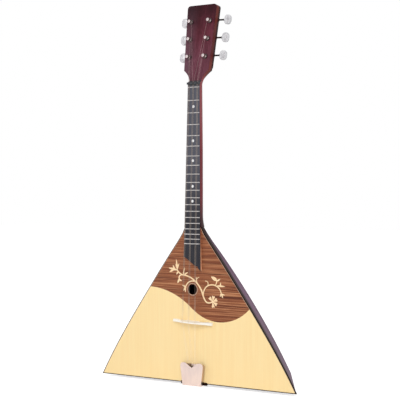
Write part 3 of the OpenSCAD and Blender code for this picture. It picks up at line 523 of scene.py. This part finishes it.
finish_of = {
    "soundboard": SPRUCE, "braces": SPRUCE, "guard_veneer": ROSEWOOD, "vine_inlay": INLAY,
    "sound_hole_ring": LINE, "binding_left": BLACK, "binding_right": BLACK, "binding_bottom": BLACK,
    "end_saddle": BLACK, "nut": BOARD, "fingerboard": BOARD, "fingerboard_riser": RISER, "neck": NECK,
    "headstock_veneer": VENEER, "bridge": BRIDGE, "neck_block": BLOCK, "tail_block": BLOCK,
    "linings": BLOCK, "bottom_board": stave_wood("base", 90.0), "frets": FRET, "position_dots": DOT,
    "tailpiece": COVER, "tailpiece_cover": COVER, "tailpiece_screws": NICKEL, "tuner_plate_left": NICKEL,
    "tuner_plate_right": NICKEL, "tuner_plate_screws": NICKEL, "post_ferrules": DARK, "strings": STRING,
}


def lean_of(node):
    """Lean of a stave from upright, in degrees, from the line through its own points."""
    points = [vert.co for vert in nodes[node].data.vertices]
    mid = sum(points, Vector()) / len(points)
    rise = sum((point.z - mid.z) ** 2 for point in points)
    return math.degrees(math.atan(sum((point.x - mid.x) * (point.z - mid.z) for point in points) / rise))


for number, stave in enumerate(STAVES, 1):
    finish_of[stave] = stave_wood(number, -lean_of(stave))
for k in TUNERS:
    finish_of[f"worm_shaft_{k}"] = DARK
    finish_of[f"tuner_post_{k}"] = POST
    finish_of[f"button_{k}"] = PEARL
    finish_of[f"worm_wheel_{k}"] = BRASS
for node, material in finish_of.items():
    nodes[node].data.materials.clear()
    nodes[node].data.materials.append(material)


# ---- Meshes ------------------------------------------------------------------------------
# Points of a solid's loose triangles that lie this close are one point
WELD = 0.002 * MM
# Triangles that meet at less than this angle, in degrees, are one face
FLAT_DEG = 0.5


def merged_bmesh(node):
    """A solid's mesh with its triangles joined into whole faces."""
    bm = bmesh.new()
    bm.from_mesh(nodes[node].data)
    bmesh.ops.remove_doubles(bm, verts=bm.verts, dist=WELD)
    bmesh.ops.dissolve_limit(bm, angle_limit=math.radians(FLAT_DEG), verts=bm.verts, edges=bm.edges)
    return bm


def shade_smooth(bm, smooth_deg):
    """Shades the faces smooth, but for the edges that turn by more than an angle."""
    for face in bm.faces:
        face.smooth = True
    for edge in bm.edges:
        edge.smooth = len(edge.link_faces) == 2 and edge.calc_face_angle(0.0) < math.radians(smooth_deg)


def shift(bm, made, vec):
    """Moves the points among the parts that an operator has just made."""
    points = [part for part in made if isinstance(part, bmesh.types.BMVert)]
    bmesh.ops.translate(bm, verts=points, vec=vec)


def facing(direction):
    """The turn that points a shape's own Z along a direction."""
    return direction.normalized().to_track_quat("Z", "Y").to_matrix().to_4x4()


def new_object(name, bm, material):
    """Stands a bmesh in the scene as an object with one material."""
    mesh = bpy.data.meshes.new(name)
    bm.to_mesh(mesh)
    bm.free()
    mesh.materials.append(material)
    made = bpy.data.objects.new(name, mesh)
    bpy.context.collection.objects.link(made)
    return made


def new_piece(name, bm, material, body):
    """Turns a bmesh into a piece that rides on a body."""
    piece = new_object(name, bm, material)
    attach(piece, body)
    return piece


def round_edges(piece, radius_mm, segments, from_deg):
    """Rounds the edges of a piece that turn by more than an angle."""
    bevel = piece.modifiers.new("edges", "BEVEL")
    bevel.width = radius_mm * MM
    bevel.segments = segments
    bevel.limit_method = "ANGLE"
    bevel.angle_limit = math.radians(from_deg)
    bevel.harden_normals = True


# ---- Solids with their edges eased -------------------------------------------------------
# How far each solid's edges are rounded, in millimetres. 0 leaves them as they are
EASED_MM = {
    "neck": 0.0, "fingerboard": 0.35, "headstock_veneer": 0.5, "nut": 0.35, "bridge": 0.5,
    "end_saddle": 0.5, "tailpiece": 0.2, "tailpiece_cover": 0.35, "tuner_plate_left": 0.2,
    "tuner_plate_right": 0.2, "bottom_board": 0.6, "binding_left": 0.3, "binding_right": 0.3,
    "binding_bottom": 0.3, "fingerboard_riser": 0.2,
}
STAVE_EASED_MM = 0.4
POST_EASED_MM = 0.25


def eased(node, edge_mm, smooth_deg=35.0):
    """Stands a copy of a solid in its place, smooth where it curves and with its edges rounded."""
    bm = merged_bmesh(node)
    shade_smooth(bm, smooth_deg)
    piece = new_piece(f"{node}_eased", bm, finish_of[node], body_of[node])
    if edge_mm:
        round_edges(piece, edge_mm, segments=2, from_deg=40.0)
    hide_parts(node)


for node, edge_mm in EASED_MM.items():
    eased(node, edge_mm)
for stave in STAVES:
    eased(stave, STAVE_EASED_MM, smooth_deg=20.0)
for k in TUNERS:
    eased(f"worm_shaft_{k}", 0.0)
    eased(f"tuner_post_{k}", POST_EASED_MM)


# ---- Light lines beside the binding ------------------------------------------------------
LINE_WIDTH = 0.7 * MM
LINE_PROUD = 0.04 * MM
LINE_DEPTH = 0.2 * MM
# A run of the binding's outline that is shorter than this is one of its ends
BINDING_END = 4 * MM


def binding_line(node, side):
    """The thin light line let in between the black binding and the board, along one side."""
    source = merged_bmesh(node)
    fronts = [face for face in source.faces if face.normal.y < -0.99]
    front = max(fronts, key=lambda face: face.calc_area())
    corners = [vert.co.copy() for vert in front.verts]
    inner = []
    for here, after in zip(corners, corners[1:] + corners[:1]):
        run = after - here
        outward = run.cross(front.normal)
        if run.length > BINDING_END and outward.x * side < 0:
            inner += [here, after]
    source.free()
    inner = sorted({round(point.z, 7): point for point in inner}.values(), key=lambda point: point.z)
    bm = bmesh.new()
    chain = [bm.verts.new((point.x, -LINE_PROUD, point.z)) for point in inner]
    edges = [bm.edges.new(pair) for pair in zip(chain, chain[1:])]
    shift(bm, bmesh.ops.extrude_edge_only(bm, edges=edges)["geom"], (-side * LINE_WIDTH, 0.0, 0.0))
    shift(bm, bmesh.ops.extrude_face_region(bm, geom=bm.faces[:])["geom"], (0.0, LINE_DEPTH, 0.0))
    bmesh.ops.recalc_face_normals(bm, faces=bm.faces)
    new_piece(f"{node}_line", bm, LINE, "instrument")


binding_line("binding_right", 1)
binding_line("binding_left", -1)


# ---- Tuners ------------------------------------------------------------------------------
WIRE_R = 0.26 * MM
WIRE_SIDES = 8
# The wire lies on the post's waist, and its first turn is this far below the post's tip
WAIST_R = 2.5 * MM
WINDING_BELOW_TIP = 3.5 * MM
WINDING_TURNS = 4
WINDING_PITCH = 0.56 * MM
WINDING_STEPS = 18
# The wire's end goes through the post and stands out of it on both sides
END_BELOW_TIP = 4.4 * MM
END_REACH = 4.4 * MM

COLLAR_R = 2.2 * MM
COLLAR_BUTTON_R = 2.6 * MM
COLLAR_DEPTH = 2.4 * MM
COLLAR_BELOW_BUTTON = 0.9 * MM
COLLAR_EASED = 0.4 * MM
COLLAR_SEGMENTS = 32

DISH_RIM = 2.3 * MM
DISH_DEPTH = 0.7 * MM
BUTTON_EASED_MM = 1.0


def joint_line(body):
    """A point on a body's hinge, and the hinge's direction."""
    joint = joint_of[body]
    return Vector(joint["pos_m"]), Vector(joint["axis"]).normalized()


def round_wire(bm, centre, along):
    """The end of a wire: a ring of points and edges round a centre, square to the wire."""
    made = bmesh.ops.create_circle(bm, radius=WIRE_R, segments=WIRE_SIDES,
                                   matrix=Matrix.Translation(centre) @ facing(along))
    return made["verts"] + list({edge for vert in made["verts"] for edge in vert.link_edges})


def post_winding(k):
    """The string's turns round its post, and its end, which goes through the post's cross hole."""
    foot, down = joint_line(f"post_{k}")
    points = [vert.co for vert in nodes[f"tuner_post_{k}"].data.vertices]
    tip = foot + down * min((point - foot).dot(down) for point in points)
    out = down.cross(Vector(UP)).normalized()
    bm = bmesh.new()
    start = tip + down * WINDING_BELOW_TIP
    ring = round_wire(bm, start + out * (WAIST_R + WIRE_R), down.cross(out))
    bmesh.ops.spin(bm, geom=ring, cent=start, axis=down, dvec=down * (WINDING_PITCH / WINDING_STEPS),
                   angle=math.radians(360 * WINDING_TURNS), steps=WINDING_TURNS * WINDING_STEPS,
                   use_merge=False)
    ring = round_wire(bm, tip + down * END_BELOW_TIP - out * END_REACH, out)
    rim = [part for part in ring if isinstance(part, bmesh.types.BMEdge)]
    shift(bm, bmesh.ops.extrude_edge_only(bm, edges=rim)["geom"], out * 2 * END_REACH)
    bmesh.ops.holes_fill(bm, edges=[edge for edge in bm.edges if edge.is_boundary], sides=WIRE_SIDES)
    bmesh.ops.recalc_face_normals(bm, faces=bm.faces)
    for face in bm.faces:
        face.smooth = len(face.verts) == 4
    new_piece(f"string_winding_{k}", bm, WOUND, f"post_{k}")


def shaft_collar(k):
    """The ferrule between a button and its shaft."""
    foot, out = joint_line(f"worm_{k}")
    start = min((vert.co - foot).dot(out) for vert in nodes[f"button_{k}"].data.vertices)
    middle = foot + out * (start - COLLAR_BELOW_BUTTON)
    bm = bmesh.new()
    bmesh.ops.create_cone(bm, cap_ends=True, segments=COLLAR_SEGMENTS, radius1=COLLAR_R,
                          radius2=COLLAR_BUTTON_R, depth=COLLAR_DEPTH,
                          matrix=Matrix.Translation(middle) @ facing(out))
    rims = [edge for edge in bm.edges if edge.calc_face_angle(0.0) > math.radians(60)]
    bmesh.ops.bevel(bm, geom=rims, offset=COLLAR_EASED, segments=3, profile=0.5, affect="EDGES", material=-1)
    for face in bm.faces:
        face.smooth = True
    new_piece(f"shaft_collar_{k}", bm, DARK, f"worm_{k}")


def pearl_button(k):
    """The oval button: rounded all over, and dished on both of its flat faces."""
    bm = merged_bmesh(f"button_{k}")
    for flat in sorted(bm.faces, key=lambda face: face.calc_area())[-2:]:
        bmesh.ops.inset_region(bm, faces=[flat], thickness=DISH_RIM, use_even_offset=True)
        bmesh.ops.translate(bm, verts=flat.verts, vec=-flat.normal * DISH_DEPTH)
    shade_smooth(bm, smooth_deg=75.0)
    piece = new_piece(f"button_{k}_pearl", bm, PEARL, f"worm_{k}")
    round_edges(piece, BUTTON_EASED_MM, segments=4, from_deg=24.0)
    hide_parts(f"button_{k}")


for k in TUNERS:
    post_winding(k)
    shaft_collar(k)
    pearl_button(k)


# ---- Strings' lower ends -----------------------------------------------------------------
HOOK_PITCH = 3.2 * MM
LOOP_R = 1.1 * MM
LOOP_STEPS = 20
# Points of the strings this far above their lowest one belong to their lower ends
STRING_END = 2.2 * MM


def hook_loops():
    """The loop at the lower end of each string, round its hook."""
    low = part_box("strings")[0]
    ends = [vert.co for vert in nodes["strings"].data.vertices if vert.co.z < low.z + STRING_END]
    bm = bmesh.new()
    for place in sorted({round(point.x / HOOK_PITCH - 0.5) for point in ends}):
        centre = mount_at["string_hooks"] + Vector(((place + 0.5) * HOOK_PITCH, 0.0, 0.0))
        ring = round_wire(bm, centre + Vector((LOOP_R, 0.0, 0.0)), Vector(UP))
        bmesh.ops.spin(bm, geom=ring, cent=centre, axis=BACKWARDS, angle=math.radians(360),
                       steps=LOOP_STEPS, use_merge=True)
    bmesh.ops.recalc_face_normals(bm, faces=bm.faces)
    for face in bm.faces:
        face.smooth = True
    new_piece("string_loops", bm, STRING, "instrument")


hook_loops()


# ---- Studio ------------------------------------------------------------------------------
WORLD_LIGHT = 0.5
LIGHT_TARGET = Vector((0.0, 0.0, 0.3))
# What the floor gives back to the eye beyond the light that falls on it, so that it shows white
FLOOR_LIFT = 0.62
FLOOR_SIZE = 6.0
FLOOR_GAP = 0.2 * MM


def add_light(name, place, size, watts):
    """A round soft light that faces the instrument."""
    data = bpy.data.lights.new(name, "AREA")
    data.shape = "DISK"
    data.size = size
    data.energy = watts
    light = bpy.data.objects.new(name, data)
    bpy.context.collection.objects.link(light)
    light.location = place
    light.rotation_mode = "QUATERNION"
    light.rotation_quaternion = (Vector(place) - LIGHT_TARGET).to_track_quat("Z", "Y")


def shown(tree):
    """A factor that is 1 for what the eye sees, directly, in reflections and through glass."""
    path = add(tree, "ShaderNodeLightPath").outputs
    seen = path["Is Camera Ray"]
    for ray in ("Is Glossy Ray", "Is Transmission Ray"):
        seen = add(tree, "ShaderNodeMath", {0: seen, 1: path[ray]}, operation="MAXIMUM").outputs[0]
    return seen


def add_world():
    """Even light from all round, which looks plain white to the eye and in reflections."""
    world = bpy.data.worlds.new("studio")
    bpy.context.scene.world = world
    world.use_nodes = True
    tree = world.node_tree
    tree.nodes.clear()
    white = linear("#ffffff")
    lit = add(tree, "ShaderNodeBackground", {"Color": white, "Strength": WORLD_LIGHT}).outputs[0]
    seen = add(tree, "ShaderNodeBackground", {"Color": white, "Strength": 1.0}).outputs[0]
    surface = add(tree, "ShaderNodeMixShader", {0: shown(tree), 1: lit, 2: seen}).outputs[0]
    add(tree, "ShaderNodeOutputWorld", {"Surface": surface})


def add_floor():
    """A white floor under the instrument: plain white to the eye, but for the shadow at its foot."""
    material, tree, shader = new_material("floor_white", Roughness=0.9)
    speckle = figure(tree, 60.0, 60.0)
    colour = add(tree, "ShaderNodeValToRGB", {"Fac": speckle}, [(0.3, "#f6f6f6"), (0.7, "#fafafa")])
    tree.links.new(colour.outputs["Color"], shader.inputs["Base Color"])
    lift = add(tree, "ShaderNodeMath", {0: shown(tree), 1: FLOOR_LIFT}, operation="MULTIPLY").outputs[0]
    glow = add(tree, "ShaderNodeEmission", {"Color": linear("#ffffff"), "Strength": lift}).outputs[0]
    lifted = add(tree, "ShaderNodeAddShader", {0: shader.outputs["BSDF"], 1: glow}).outputs[0]
    output = next(node for node in tree.nodes if node.type == "OUTPUT_MATERIAL")
    tree.links.new(lifted, output.inputs["Surface"])
    bm = bmesh.new()
    bmesh.ops.create_grid(bm, x_segments=1, y_segments=1, size=FLOOR_SIZE)
    bmesh.ops.translate(bm, verts=bm.verts, vec=(0.0, 0.0, cad_box[0].z - FLOOR_GAP))
    new_object("floor", bm, material)


add_camera()
add_world()
add_floor()
add_light("key", place=(1.5, -2.3, 1.8), size=1.6, watts=39.5)
add_light("fill", place=(-2.2, -1.3, 0.9), size=1.4, watts=12)
bpy.context.scene.view_settings.view_transform = "Standard"
